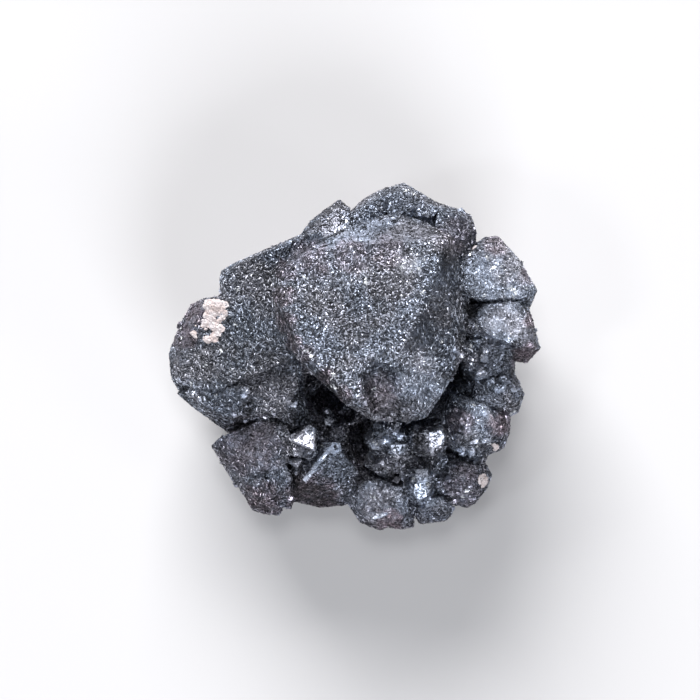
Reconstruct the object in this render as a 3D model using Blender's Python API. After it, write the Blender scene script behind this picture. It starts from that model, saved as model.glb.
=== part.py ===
"""Hematite pseudomorph: octahedral crystals grown together in one cluster, lying on its broken base.

Lengths in the lists are millimetres. X runs along the longest side, Y across it, and Z up from the flat
base. A crystal is the convex solid that its corners span, as a grown crystal is.
"""

import math
import random

import bmesh
import bpy
from mathutils import Euler, Vector

for leftover in list(bpy.data.objects):
    bpy.data.objects.remove(leftover, do_unlink=True)

MM = 0.001

# A crystal's main face lies on a sloping plane: height at the middle, rise per mm along X and along Y.
MAIN_FACE = (19.9, 0.06, -0.17)
PLATE_FACE = (16.0, 0.26, 0.10)
SHOULDER_FACE = (15.6, 0.24, 0.10)
LEDGE_FACE = (14.9, 0.18, 0.22)

# The matrix below the crystals: its edge at the widest, and for each level how far in it is drawn, its
# height at the middle and its rise per mm along Y.
MATRIX_MIDDLE = (0.0, -0.5)
MATRIX_LEVELS = [(0.55, -1.0, 0.0), (0.80, 2.6, 0.0), (0.96, 5.8, 0.04), (0.92, 7.8, 0.09)]
MATRIX_EDGE = [
    (5.2, 18.3), (8.4, 16.4), (11.2, 15.5), (12.7, 13.8), (12.4, 11.7), (14.2, 12.4), (16.0, 11.4),
    (18.2, 8.8), (19.0, 6.8), (18.2, 5.0), (19.0, 3.2), (19.5, 1.0), (17.8, -0.9), (16.9, -1.9),
    (17.8, -4.2), (16.5, -6.2), (16.1, -8.6), (14.0, -10.3), (13.8, -11.6), (14.3, -13.0), (12.8, -15.8),
    (10.2, -15.4), (9.8, -17.4), (7.0, -17.8), (3.4, -18.4), (0.8, -17.4), (-1.0, -15.7), (-5.4, -16.0),
    (-8.6, -16.9), (-10.8, -16.1), (-12.4, -13.6), (-14.9, -9.9), (-13.6, -8.0), (-15.6, -6.2),
    (-18.6, -3.9), (-19.6, -0.8), (-19.1, 2.0), (-17.3, 5.6), (-14.8, 6.9), (-13.9, 9.0), (-10.0, 10.9),
    (-5.8, 12.7), (-3.5, 15.1), (-1.6, 16.4), (0.8, 16.1), (2.8, 17.4),
]
# The deep cavity beside the main crystal, which runs on down to the right as a narrow cleft.
CAVITY = [
    (-6.3, -0.4, 16.0), (-7.0, -6.6, 16.0), (-3.4, -8.6, 16.0), (-0.6, -9.4, 16.0), (1.2, -7.0, 16.0),
    (3.0, -2.0, 16.0), (-5.0, -1.6, 4.6), (-5.2, -5.2, 5.0), (-2.6, -7.0, 4.2), (-0.4, -6.6, 4.2),
    (0.4, -3.6, 5.0),
]
CLEFT = [
    (-2.4, -8.0, 16.0), (0.0, -12.4, 16.0), (1.4, -13.6, 16.0), (2.2, -12.4, 16.0), (1.6, -7.0, 16.0),
    (-1.4, -7.4, 4.6), (0.4, -11.4, 5.2), (1.4, -11.6, 5.2), (0.8, -7.0, 4.6),
]


def on_plane(plane, outline):
    """The outline's corners, lifted onto a sloping plane."""
    height, rise_x, rise_y = plane
    return [(x, y, height + rise_x * x + rise_y * y) for x, y in outline]


# The large crystal that stands over the cluster: a blunt octahedron with its broad face up.
MAIN_CRYSTAL = on_plane(MAIN_FACE, [
    (-7.7, 9.4), (-5.3, 11.1), (-1.0, 11.9), (9.8, 12.5), (5.1, 0.2), (0.6, -5.0), (-0.3, -4.3),
    (-5.4, 0.4), (-8.1, 6.1),
]) + [
    (-6.1, 11.4, 16.2), (-1.0, 13.8, 15.6), (4.4, 15.5, 13.8), (7.6, 14.4, 14.8), (10.4, 12.8, 16.2),
    (11.4, 9.3, 14.0), (12.4, 6.1, 12.0), (12.0, 2.4, 12.8), (10.4, -0.6, 16.4), (10.9, -1.6, 15.2),
    (9.2, -3.8, 16.4), (7.4, -6.2, 16.8), (7.6, -6.6, 15.6), (5.6, -7.0, 16.2), (2.0, -6.9, 14.8), (-0.9, -5.1, 18.8), (-6.0, -0.3, 17.6),
    (-8.6, 9.0, 14.2), (-9.0, 5.8, 14.0), (-7.6, 1.4, 14.0), (-7.0, 9.0, 7.0), (3.4, 14.2, 7.0),
    (9.6, 12.2, 7.0), (12.4, 6.0, 7.0), (11.6, 0.4, 7.0), (-4.2, 2.4, 6.0), (2.6, -0.6, 6.0),
    (7.6, -2.6, 7.0),
]
# The notch in its lower side, between two lobes.
NOTCH = [
    (0.5, -1.5, 20.6), (1.9, -0.1, 20.0), (4.0, -1.2, 19.8), (2.0, -7.6, 15.0), (5.0, -7.8, 15.0),
    (0.4, -1.8, 22.0), (1.9, 0.0, 22.0), (5.2, -1.6, 22.0), (1.6, -8.0, 22.0), (6.0, -8.4, 22.0),
]

# The other crystals whose shapes stand out one by one, each by its corners.
CORNERED = {
    # The broad plate at the left, in two steps.
    "plate_upper": on_plane(SHOULDER_FACE, [
        (-14.0, 8.0), (-13.9, 8.9), (-13.0, 9.5), (-9.9, 11.0), (-5.9, 12.7), (-3.6, 13.4), (-2.0, 8.0),
        (-6.0, 0.0), (-13.0, 1.0),
    ]) + [
        (-14.6, 8.2, 9.2), (-14.4, 9.2, 9.2), (-13.4, 9.9, 9.4), (-9.9, 11.4, 9.6), (-5.9, 13.1, 9.8),
        (-13.4, 7.6, 5.0), (-9.0, 9.8, 5.0), (-4.0, 11.0, 5.0), (-12.0, 2.0, 4.0), (-4.0, 2.0, 4.0),
    ],
    "plate_lower": on_plane(PLATE_FACE, [
        (-16.0, 5.7), (-17.2, 4.0), (-18.4, 1.6), (-19.0, -0.8), (-18.6, -2.4), (-17.2, -3.4),
        (-14.6, -3.6), (-6.4, -0.1), (-8.0, 7.0), (-14.0, 6.4),
    ]) + [
        (-16.4, 6.2, 9.6), (-17.7, 5.6, 9.2), (-18.8, 3.6, 8.8), (-20.1, 0.4, 8.2), (-19.8, -2.4, 8.0),
        (-18.8, -3.9, 8.0), (-15.4, 5.0, 5.0), (-17.6, 0.4, 4.4), (-16.4, -3.0, 4.4), (-9.0, -3.0, 4.0),
        (-8.0, 6.0, 4.0),
    ],
    # The facets below the plate, and the small crystal that stands on them.
    "left_ledge": on_plane(LEDGE_FACE, [
        (-18.2, -3.8), (-14.8, -2.2), (-6.4, -0.4), (-6.2, -3.0), (-7.4, -5.8), (-10.4, -6.0),
        (-13.4, -6.6), (-16.0, -5.4),
    ]) + [
        (-19.1, -4.0, 8.2), (-17.3, -5.6, 7.6), (-14.8, -7.0, 7.2), (-13.6, -8.3, 6.6), (-9.0, -8.0, 6.6),
        (-16.6, -3.6, 4.6), (-12.4, -5.8, 4.0), (-6.4, -6.4, 6.0), (-5.6, -1.0, 5.0),
    ],
    "left_ledge_tooth": [
        (-13.9, -3.6, 12.4), (-12.2, -3.2, 13.2), (-11.3, -4.4, 13.0), (-12.6, -5.9, 12.1),
        (-14.4, -5.4, 11.1), (-11.2, -6.0, 9.0), (-13.6, -7.0, 9.0), (-15.2, -4.8, 9.4),
        (-12.6, -2.4, 9.6), (-10.4, -4.2, 9.6),
    ],
    "cavity_wall": [
        (-6.6, -4.6, 12.2), (-8.4, -6.2, 11.6), (-6.6, -7.6, 11.2), (-5.4, -6.2, 11.2), (-5.6, -4.4, 9.6),
        (-4.6, -7.4, 8.6), (-7.4, -8.4, 8.6), (-9.6, -6.0, 8.6), (-7.0, -3.4, 8.6), (-5.4, -6.6, 4.0),
    ],
    # Three crystals along the lower left edge.
    "corner_crystal": [
        (-15.3, -9.6, 8.0), (-14.2, -8.6, 9.4), (-10.2, -7.0, 10.7), (-7.4, -7.4, 11.3), (-6.6, -9.2, 11.3),
        (-7.4, -11.6, 10.4), (-10.4, -12.6, 9.4), (-12.7, -13.4, 7.6), (-15.5, -9.7, 6.6),
        (-12.9, -13.9, 6.2), (-13.2, -9.4, 4.0), (-11.0, -13.4, 3.6), (-7.0, -12.0, 3.4), (-7.4, -8.0, 4.0),
    ],
    "corner_foot": [
        (-12.2, -13.0, 8.0), (-10.0, -12.4, 9.0), (-9.6, -13.8, 9.2), (-9.6, -15.6, 8.2), (-11.4, -14.8, 7.4),
        (-12.7, -13.9, 6.4), (-11.8, -15.1, 6.2), (-11.1, -16.6, 5.8), (-9.8, -17.1, 5.8), (-8.2, -17.2, 5.8),
        (-10.2, -15.0, 3.2), (-7.4, -15.4, 3.2), (-8.0, -12.4, 3.6), (-8.6, -15.6, 7.6),
    ],
    "foot_ridge": [
        (-9.4, -12.0, 9.8), (-7.4, -11.8, 10.4), (-6.8, -13.0, 9.9), (-7.0, -14.6, 8.8), (-8.8, -14.6, 8.8),
        (-9.9, -13.4, 8.2), (-6.3, -14.8, 6.4), (-8.9, -16.0, 6.4), (-6.9, -16.6, 5.6), (-7.6, -12.4, 3.6),
    ],
    "low_pyramid": [
        (-2.0, -9.7, 12.2), (-5.6, -13.2, 10.4), (-6.2, -14.2, 9.2), (-1.1, -14.6, 8.4), (1.2, -13.4, 7.6),
        (-0.5, -11.6, 9.8), (-6.4, -12.6, 9.2), (-4.4, -10.2, 10.8), (-3.0, -9.2, 10.6), (-6.9, -15.6, 5.8),
        (-1.0, -16.1, 5.4), (-3.8, -16.4, 5.2), (-6.0, -14.6, 3.0), (-1.6, -14.8, 3.0), (-1.4, -10.4, 5.0),
        (-5.6, -10.0, 5.0), (0.6, -14.8, 5.0),
    ],
    "bright_tooth": [
        (-6.4, -9.0, 11.8), (-4.7, -7.7, 13.0), (-4.5, -9.5, 13.1), (-5.4, -10.8, 11.8), (-6.9, -10.6, 10.8),
        (-3.8, -8.4, 9.0), (-3.8, -11.2, 9.6), (-7.2, -8.6, 9.0), (-5.2, -7.0, 9.0), (-5.6, -9.4, 5.0),
    ],
    # The crystals at the right end.
    "upper_right": [
        (11.5, 9.8, 14.0), (13.4, 11.9, 13.8), (15.3, 12.3, 13.2), (17.2, 9.9, 13.2), (18.9, 7.1, 13.0),
        (18.5, 6.3, 13.2), (13.4, 6.2, 14.6), (11.8, 7.2, 14.4), (13.1, 12.2, 9.4), (14.1, 12.9, 9.0),
        (15.5, 13.0, 8.8), (18.0, 10.2, 8.4), (19.7, 7.2, 8.2), (19.0, 5.4, 9.0), (13.4, 5.4, 9.4),
        (11.4, 7.0, 8.0), (13.6, 11.0, 5.0), (16.8, 8.6, 4.6), (14.0, 6.6, 4.2),
    ],
    "right_block": [
        (13.8, 5.6, 14.0), (17.4, 5.8, 14.0), (18.5, 4.6, 13.6), (19.2, 2.6, 13.0), (19.3, 1.0, 12.4),
        (17.8, 1.0, 12.8), (16.0, 1.7, 13.6), (14.2, 2.5, 14.0), (13.2, 3.8, 14.0),
        (18.6, 6.0, 9.4), (20.1, 0.9, 8.2), (18.6, -0.7, 8.0), (14.6, -0.2, 9.0), (12.6, 4.0, 8.0),
        (13.4, 6.0, 9.4), (17.6, 3.4, 4.6), (14.6, 3.4, 4.4), (17.4, 1.0, 5.0),
    ],
    "right_shelf_upper": [
        (12.2, 1.6, 12.0), (14.4, 2.0, 12.4), (16.8, 0.6, 11.6), (17.3, -0.9, 10.4), (16.0, -2.0, 10.8),
        (13.4, -2.2, 11.2), (11.8, -0.8, 11.4), (17.3, -1.7, 7.0), (15.8, -3.6, 8.6), (11.8, -2.8, 8.6),
        (11.2, 1.2, 9.0), (15.0, -0.6, 3.6), (12.6, 0.2, 4.0),
    ],
    "right_shelf_lower": [
        (13.0, -2.6, 11.0), (16.4, -2.2, 11.0), (17.8, -3.6, 10.4), (17.7, -4.9, 9.8), (15.8, -5.4, 10.2),
        (13.2, -4.6, 11.0), (17.3, -1.9, 7.2), (18.4, -4.0, 6.8), (17.7, -6.1, 6.4), (16.4, -6.6, 6.4),
        (12.2, -5.0, 8.6), (11.8, -2.4, 8.6), (15.6, -3.4, 3.6), (12.6, -3.6, 3.6),
    ],
    "lower_octahedron": [
        (10.3, -4.5, 11.8), (12.2, -5.2, 13.2), (13.8, -5.6, 12.6), (15.0, -7.3, 11.8), (14.7, -9.1, 11.0),
        (11.8, -9.1, 12.4), (9.9, -7.0, 11.2), (10.0, -9.0, 10.6), (15.4, -7.4, 8.4), (14.4, -10.6, 7.8),
        (11.6, -10.8, 8.2), (9.0, -9.4, 8.4), (9.0, -6.0, 8.4), (10.6, -3.8, 8.8), (14.4, -4.8, 8.6),
        (12.6, -7.4, 4.0),
    ],
    "lower_right_edge": [
        (15.1, -5.8, 9.8), (16.2, -6.6, 9.6), (16.2, -8.6, 9.0), (15.6, -9.6, 8.4), (14.6, -9.2, 9.2),
        (16.8, -8.2, 6.2), (16.2, -9.9, 5.6), (14.4, -10.7, 6.0), (15.2, -7.0, 4.0), (13.6, -9.0, 4.0),
        (13.8, -7.0, 8.6), (16.9, -6.4, 6.4),
    ],
    # The crowd of smaller crystals between the main crystal and the lower edge.
    "bright_block": [
        (6.2, -8.2, 11.2), (7.8, -8.0, 12.4), (9.3, -7.9, 12.0), (9.8, -8.8, 11.5), (9.4, -9.8, 11.0),
        (8.2, -10.5, 10.8), (7.4, -9.8, 11.6), (5.8, -9.6, 10.6), (10.4, -8.4, 8.0), (9.4, -11.2, 8.0),
        (5.2, -10.8, 8.0), (5.2, -7.2, 8.0), (9.6, -6.8, 8.0),
    ],
    "striped_block": [
        (5.4, -12.2, 9.8), (7.6, -12.0, 10.6), (8.4, -13.0, 10.2), (8.0, -15.0, 9.4), (6.8, -15.6, 9.0),
        (5.6, -14.6, 9.4), (6.6, -12.8, 10.6), (4.8, -14.6, 7.0), (6.6, -16.4, 6.8), (9.0, -15.2, 7.0),
        (9.2, -12.0, 7.6), (5.0, -11.4, 7.8), (7.0, -14.0, 4.0),
    ],
    "lower_edge_block": [
        (-0.2, -14.8, 8.4), (1.6, -13.5, 9.6), (3.4, -13.8, 9.8), (3.8, -15.4, 9.0), (2.6, -17.0, 8.0),
        (0.8, -16.6, 7.8), (-0.9, -15.8, 6.0), (0.6, -18.0, 5.6), (2.8, -18.9, 5.4), (4.2, -18.2, 5.6),
        (5.0, -14.0, 6.0), (1.4, -12.6, 6.0), (2.0, -15.0, 3.4),
    ],
    "lower_edge_wedge": [
        (3.6, -13.9, 9.6), (5.2, -14.2, 9.4), (5.6, -16.0, 8.8), (4.6, -17.4, 8.0), (3.2, -16.6, 8.6),
        (3.8, -18.6, 5.4), (5.5, -18.7, 5.4), (6.4, -18.4, 5.6), (6.6, -15.6, 6.0), (3.0, -14.6, 5.0),
        (5.0, -15.6, 3.4),
    ],
    "lower_prism": [
        (6.8, -15.6, 8.6), (9.2, -15.4, 9.0), (10.3, -15.9, 8.5), (10.1, -16.7, 7.9), (7.2, -16.7, 7.9),
        (10.6, -17.1, 5.6), (9.9, -17.8, 5.6), (7.1, -18.2, 5.6), (6.2, -16.8, 5.6), (6.4, -15.0, 6.0),
        (10.6, -15.2, 6.0), (8.6, -15.6, 3.2),
    ],
    "rounded_lump": [
        (10.2, -11.8, 9.6), (11.8, -11.5, 10.0), (13.4, -11.9, 9.6), (14.0, -13.0, 9.0), (13.4, -14.3, 8.7),
        (12.0, -14.8, 8.8), (10.4, -13.8, 9.4), (14.9, -12.8, 6.2), (14.3, -14.4, 5.8), (13.0, -16.0, 5.4),
        (12.2, -16.4, 5.4), (10.8, -15.9, 5.8), (9.2, -13.6, 6.6), (9.4, -11.2, 6.6), (14.1, -11.4, 6.6),
        (12.0, -13.0, 3.4),
    ],
    # The blocks along the far edge.
    "far_peak": [
        (3.0, 17.3, 12.0), (5.4, 18.0, 12.2), (7.6, 16.6, 12.6), (9.0, 15.8, 12.8), (8.4, 15.0, 12.8),
        (5.8, 15.2, 12.5), (3.3, 15.7, 12.3), (2.5, 17.9, 7.4), (5.3, 18.8, 7.4), (7.6, 17.3, 7.8),
        (9.4, 16.4, 8.0), (3.0, 15.0, 3.6), (7.4, 14.0, 3.6), (5.0, 13.6, 9.0),
    ],
    "far_peak_left": [
        (0.0, 15.6, 12.4), (1.6, 16.2, 12.8), (3.4, 17.2, 12.4), (3.8, 16.0, 12.2), (2.4, 14.6, 12.8),
        (-0.2, 14.0, 12.8), (0.7, 16.7, 7.6), (1.2, 17.1, 7.4), (3.6, 18.4, 7.2), (-0.8, 15.4, 8.0),
        (1.0, 14.0, 4.0), (4.0, 15.0, 4.0),
    ],
    "far_block": [
        (9.2, 15.6, 13.4), (11.0, 15.3, 13.2), (12.3, 14.5, 12.8), (12.6, 12.8, 12.6), (12.4, 9.6, 12.8),
        (10.6, 9.6, 13.6), (8.8, 13.6, 13.6), (8.8, 16.6, 8.4), (11.0, 16.0, 8.6), (12.6, 15.3, 8.4),
        (13.2, 13.3, 8.2), (12.9, 10.9, 8.0), (10.0, 13.4, 3.8), (11.6, 12.0, 3.8), (8.6, 10.0, 3.8),
    ],
    "far_left_knob": [
        (-5.2, 13.2, 12.6), (-3.6, 14.7, 12.2), (-1.8, 16.0, 11.8), (-0.7, 15.6, 12.2), (-0.4, 13.8, 13.2),
        (-3.0, 12.2, 14.4), (-5.9, 13.0, 8.8), (-4.8, 14.6, 8.2), (-3.6, 15.6, 8.0), (-1.7, 16.9, 7.8),
        (-0.5, 16.1, 8.0), (-1.0, 13.0, 4.0), (-4.0, 12.0, 4.0),
    ],
}

# The small octahedral crystals: middle, distance from there to a tip, turn about X, Y and Z in degrees.
SMALL = [
    # Below the main crystal's lobes.
    ((2.7, -8.6, 9.4), 2.3, (20, 35, 10)), ((4.8, -9.2, 9.2), 2.5, (50, 10, 20)),
    ((3.4, -7.6, 10.6), 2.2, (10, 50, 30)), ((3.0, -11.0, 8.2), 2.8, (15, 50, 30)),
    ((5.6, -11.0, 8.2), 2.6, (60, 15, 40)), ((8.6, -11.6, 7.8), 2.8, (10, 30, 65)),
    ((9.6, -13.2, 7.4), 2.4, (15, 60, 20)), ((9.2, -5.8, 8.0), 2.2, (35, 20, 5)),
    ((12.9, -10.8, 7.4), 2.0, (25, 40, 15)), ((-5.5, -11.9, 8.3), 2.0, (40, 25, 60)),
    # In the gaps beside the main crystal's right side.
    ((12.7, 3.6, 11.0), 2.5, (20, 40, 0)), ((12.5, 0.5, 11.4), 1.8, (45, 10, 30)),
    ((11.2, -3.6, 8.6), 2.4, (10, 20, 50)), ((7.6, 13.4, 10.6), 2.6, (30, 30, 0)),
    # In the cavity.
    ((-3.0, -6.8, 6.4), 1.5, (30, 20, 10)), ((-1.8, -8.4, 6.8), 1.8, (50, 40, 0)),
    ((-5.0, -3.0, 5.6), 1.8, (10, 50, 20)), ((-0.4, -6.4, 5.4), 1.7, (40, 0, 30)),
]

# Crystals half sunk in the matrix all round the sides: how many in each row, how high the row is, and
# the least and greatest distance from middle to tip.
SIDE_ROWS = [(19, 5.4, 2.6, 4.0), (15, 2.4, 2.6, 4.2)]
SIDE_SEED = 11

# Chips broken out of the base: the corners of each, below the base and then where it reaches up to.
BASE_CHIPS = [
    [(-14.0, 2.0, -1.0), (-10.4, -0.6, -1.0), (-6.2, 1.4, -1.0), (-4.6, 5.2, -1.0), (-8.0, 9.6, -1.0),
     (-13.0, 8.0, -1.0), (-11.0, 4.0, 2.0), (-8.4, 3.6, 1.2), (-8.8, 6.4, 1.8)],
    [(-1.6, 9.0, -1.0), (0.6, 5.2, -1.0), (4.6, 4.0, -1.0), (8.4, 5.4, -1.0), (7.0, 12.0, -1.0),
     (0.0, 12.4, -1.0), (2.4, 8.4, 1.3), (5.2, 7.2, 1.0), (4.6, 10.0, 1.9)],
    [(2.4, -12.6, -1.0), (0.2, -8.6, -1.0), (2.8, -5.6, -1.0), (6.6, -6.6, -1.0), (9.6, -10.2, -1.0),
     (8.0, -13.0, -1.0), (3.6, -9.4, 1.2), (6.0, -9.4, 1.7), (5.4, -11.6, 2.0)],
    [(-11.6, -8.6, -1.0), (-9.4, -3.6, -1.0), (-5.6, -4.2, -1.0), (-4.2, -8.2, -1.0), (-7.4, -12.0, -1.0),
     (-8.2, -6.4, 1.3), (-7.2, -9.0, 1.5)],
    [(13.6, -3.0, -1.0), (8.8, -3.4, -1.0), (7.6, -0.6, -1.0), (9.6, 1.8, -1.0), (13.0, 3.2, -1.0),
     (10.4, -1.2, 1.2), (11.6, 0.6, 1.6)],
]

# The thin crust of pale mineral on the plate: its edge, how far it stands clear of the face, its
# thickness, and how far its top is drawn in.
CRUST_EDGE = [
    (-16.0, 5.4), (-15.2, 5.6), (-14.3, 5.6), (-13.8, 5.2), (-14.3, 4.8), (-13.7, 4.4), (-14.4, 3.7),
    (-14.1, 3.0), (-14.8, 2.4), (-14.7, 1.7), (-15.9, 1.6), (-16.6, 1.9), (-17.4, 2.2), (-16.7, 3.1),
    (-17.2, 3.6), (-16.3, 4.2), (-16.2, 4.9),
]
CRUST_CLEAR = 0.25
CRUST_THICK = 0.45
CRUST_TAPER = 0.82


def new_object(name, bm, material=None):
    bmesh.ops.recalc_face_normals(bm, faces=bm.faces)
    mesh = bpy.data.meshes.new(name)
    bm.to_mesh(mesh)
    bm.free()
    if material:
        mesh.materials.append(material)
    obj = bpy.data.objects.new(name, mesh)
    bpy.context.scene.collection.objects.link(obj)
    return obj


def hull_object(name, corners):
    """A mesh object that is the convex hull of the corners, given in millimetres."""
    bm = bmesh.new()
    for corner in corners:
        bm.verts.new(Vector(corner) * MM)
    made = bmesh.ops.convex_hull(bm, input=bm.verts)
    spare = {v for v in made["geom_interior"] + made["geom_unused"] if isinstance(v, bmesh.types.BMVert)}
    bmesh.ops.delete(bm, geom=list(spare), context="VERTS")
    bmesh.ops.dissolve_limit(bm, angle_limit=math.radians(0.5), verts=bm.verts, edges=bm.edges)
    return new_object(name, bm)


def stacked_object(name, rings, material):
    """A closed solid through rings of corners that match one to one, given in millimetres."""
    bm = bmesh.new()
    rings = [[bm.verts.new(Vector(corner) * MM) for corner in ring] for ring in rings]
    count = len(rings[0])
    for low, high in zip(rings, rings[1:]):
        for i in range(count):
            j = (i + 1) % count
            bm.faces.new((low[i], low[j], high[j], high[i]))
    bm.faces.new(rings[0])
    bm.faces.new(rings[-1])
    return new_object(name, bm, material)


def drawn_in(outline, middle, share):
    middle = Vector(middle)
    return [tuple(middle + (Vector(point) - middle) * share) for point in outline]


def octahedron(middle, reach, turn, blunt=0.18):
    """The corners of an octahedron with cut tips, turned and moved into place."""
    spin = Euler([math.radians(a) for a in turn]).to_matrix()
    corners = []
    for axis in range(3):
        for other in range(3):
            if other == axis:
                continue
            for side in (-1, 1):
                for lean in (-1, 1):
                    corner = [0.0, 0.0, 0.0]
                    corner[axis] = side * (1 - blunt)
                    corner[other] = lean * blunt
                    corners.append(Vector(middle) + spin @ (Vector(corner) * reach))
    return corners


def fill_sealed_pockets(obj):
    """Applies the modifiers, then keeps the outer skin alone, so that no closed pocket is left inside."""
    graph = bpy.context.evaluated_depsgraph_get()
    mesh = bpy.data.meshes.new_from_object(obj.evaluated_get(graph))
    obj.modifiers.clear()
    obj.data = mesh
    bm = bmesh.new()
    bm.from_mesh(mesh)
    bmesh.ops.remove_doubles(bm, verts=bm.verts, dist=0.002 * MM)
    unseen = set(bm.faces)
    skins = []
    while unseen:
        skin = [unseen.pop()]
        for face in skin:
            for edge in face.edges:
                for near in edge.link_faces:
                    if near in unseen:
                        unseen.discard(near)
                        skin.append(near)
        skins.append(skin)
    skins.sort(key=len)
    for skin in skins[:-1]:
        bmesh.ops.delete(bm, geom=skin, context="FACES")
    bm.to_mesh(mesh)
    bm.free()


def solid_material(name, colour, metallic, roughness):
    material = bpy.data.materials.new(name)
    material.use_nodes = True
    shader = material.node_tree.nodes["Principled BSDF"]
    shader.inputs["Base Color"].default_value = (*colour, 1.0)
    shader.inputs["Metallic"].default_value = metallic
    shader.inputs["Roughness"].default_value = roughness
    return material


def helper(obj):
    obj.hide_render = True
    obj.display_type = "WIRE"
    return obj


def carve(obj, cutter):
    cut = obj.modifiers.new("cut " + cutter.name, "BOOLEAN")
    cut.operation = "DIFFERENCE"
    cut.solver = "EXACT"
    cut.object = helper(cutter)


hematite = solid_material("hematite", (0.085, 0.09, 0.11), 0.8, 0.5)

pale_mineral = solid_material("pale mineral", (0.72, 0.66, 0.64), 0.0, 0.85)

cluster = stacked_object("hematite_cluster", [
    on_plane((height, 0.0, rise), drawn_in(MATRIX_EDGE, MATRIX_MIDDLE, share))
    for share, height, rise in MATRIX_LEVELS
], hematite)
carve(cluster, hull_object("cavity_cutter", CAVITY))
carve(cluster, hull_object("cleft_cutter", CLEFT))

grown_together = bpy.data.collections.new("grown together")
bpy.context.scene.collection.children.link(grown_together)


def grow(name, corners):
    """Adds a crystal that the cluster is joined with."""
    crystal = helper(hull_object(name, corners))
    bpy.context.scene.collection.objects.unlink(crystal)
    grown_together.objects.link(crystal)
    return crystal


def edge_point(share):
    """The point this share of the way round the matrix's edge, counting corners."""
    place = share * len(MATRIX_EDGE)
    first = int(place)
    start = Vector(MATRIX_EDGE[first % len(MATRIX_EDGE)])
    end = Vector(MATRIX_EDGE[(first + 1) % len(MATRIX_EDGE)])
    return start.lerp(end, place - first)


def grow_side_rows():
    """Rows of crystals round the sides, drawn in so that no tip passes the edge."""
    draw = random.Random(SIDE_SEED)
    middle = Vector(MATRIX_MIDDLE)
    for row, (count, height, least, most) in enumerate(SIDE_ROWS):
        for number in range(count):
            reach = draw.uniform(least, most)
            outward = edge_point((number + draw.uniform(0.2, 0.8)) / count) - middle
            level = height + draw.uniform(-0.7, 0.7)
            slope_in = 0.045 * (6.4 - level) * outward.length
            place = middle + outward.normalized() * (outward.length - 0.85 * reach - slope_in)
            turn = [draw.uniform(0, 90) for _ in range(3)]
            grow(f"side_{row}_{number:02d}", octahedron((place.x, place.y, level), reach, turn))


main_crystal = grow("main_crystal", MAIN_CRYSTAL)
carve(main_crystal, hull_object("notch_cutter", NOTCH))
for name, corners in CORNERED.items():
    grow(name, corners)
for number, (middle, reach, turn) in enumerate(SMALL):
    grow(f"small_{number:02d}", octahedron(middle, reach, turn))
grow_side_rows()

join = cluster.modifiers.new("grown together", "BOOLEAN")
join.operation = "UNION"
join.solver = "EXACT"
join.operand_type = "COLLECTION"
join.collection = grown_together

# The flat broken base, and the chips out of it.
carve(cluster, hull_object("base_cutter", [
    (x, y, z) for x in (-25, 25) for y in (-25, 25) for z in (-8, 0)
]))
for number, corners in enumerate(BASE_CHIPS):
    carve(cluster, hull_object(f"chip_cutter_{number}", corners))

fill_sealed_pockets(cluster)

height, rise_x, rise_y = PLATE_FACE
crust_middle = Vector((
    sum(x for x, _ in CRUST_EDGE) / len(CRUST_EDGE), sum(y for _, y in CRUST_EDGE) / len(CRUST_EDGE),
))
stacked_object("pale_crust", [
    on_plane((height + CRUST_CLEAR, rise_x, rise_y), CRUST_EDGE),
    on_plane((height + CRUST_CLEAR + CRUST_THICK, rise_x, rise_y),
             drawn_in(CRUST_EDGE, crust_middle, CRUST_TAPER)),
], pale_mineral)
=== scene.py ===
"""Looks of the hematite pseudomorph: a granular skin, sparkling micro crystals and a pale mineral crust.

The cluster's own surface is cut finely and given a low relief. It carries crystals of three sizes: blocky
small ones half sunk in it, larger clear-cut ones where the photograph shows them, and micro crystals that
lie all over it, whose glints are painted into their colour. Where it is lighter, cleaner and with painted
sheen, brown with rust and painted warm reflection, smooth, or in painted shade is painted on the meshes,
and the materials read it. Lengths in the lists are millimetres in the CAD's frame, and MM turns them into
metres.
"""

import bmesh
import bpy
import numpy as np
from mathutils import Matrix, Quaternion, Vector, noise
from mathutils.bvhtree import BVHTree


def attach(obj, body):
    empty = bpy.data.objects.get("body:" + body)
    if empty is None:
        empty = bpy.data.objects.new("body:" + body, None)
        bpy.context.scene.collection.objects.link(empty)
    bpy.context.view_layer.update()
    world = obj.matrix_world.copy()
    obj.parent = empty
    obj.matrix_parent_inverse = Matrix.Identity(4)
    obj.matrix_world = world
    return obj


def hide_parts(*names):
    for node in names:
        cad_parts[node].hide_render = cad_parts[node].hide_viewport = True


MM = 0.001

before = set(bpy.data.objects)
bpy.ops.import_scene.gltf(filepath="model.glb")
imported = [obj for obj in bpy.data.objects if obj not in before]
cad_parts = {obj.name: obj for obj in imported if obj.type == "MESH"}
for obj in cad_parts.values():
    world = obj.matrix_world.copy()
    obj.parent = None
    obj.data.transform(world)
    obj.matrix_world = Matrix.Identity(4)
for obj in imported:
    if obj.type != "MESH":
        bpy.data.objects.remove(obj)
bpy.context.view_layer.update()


# ---------------------------------------------------------------- meshes


def link_object(name, data):
    """A new object in the scene, with this mesh, light or camera."""
    obj = bpy.data.objects.new(name, data)
    bpy.context.scene.collection.objects.link(obj)
    return obj


def object_from(bm, name):
    """A new object in the scene, with the bmesh's shape. The bmesh is freed."""
    mesh = bpy.data.meshes.new(name)
    bm.to_mesh(mesh)
    bm.free()
    return link_object(name, mesh)


def mesh_from_arrays(name, points, triangles):
    """A mesh of triangles from two numpy arrays."""
    mesh = bpy.data.meshes.new(name)
    mesh.vertices.add(len(points))
    mesh.vertices.foreach_set("co", np.asarray(points, np.float32).ravel())
    mesh.loops.add(triangles.size)
    mesh.loops.foreach_set("vertex_index", np.asarray(triangles, np.int32).ravel())
    mesh.polygons.add(len(triangles))
    mesh.polygons.foreach_set("loop_start", np.arange(0, triangles.size, 3, dtype=np.int32))
    mesh.update(calc_edges=True)
    return mesh


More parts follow.
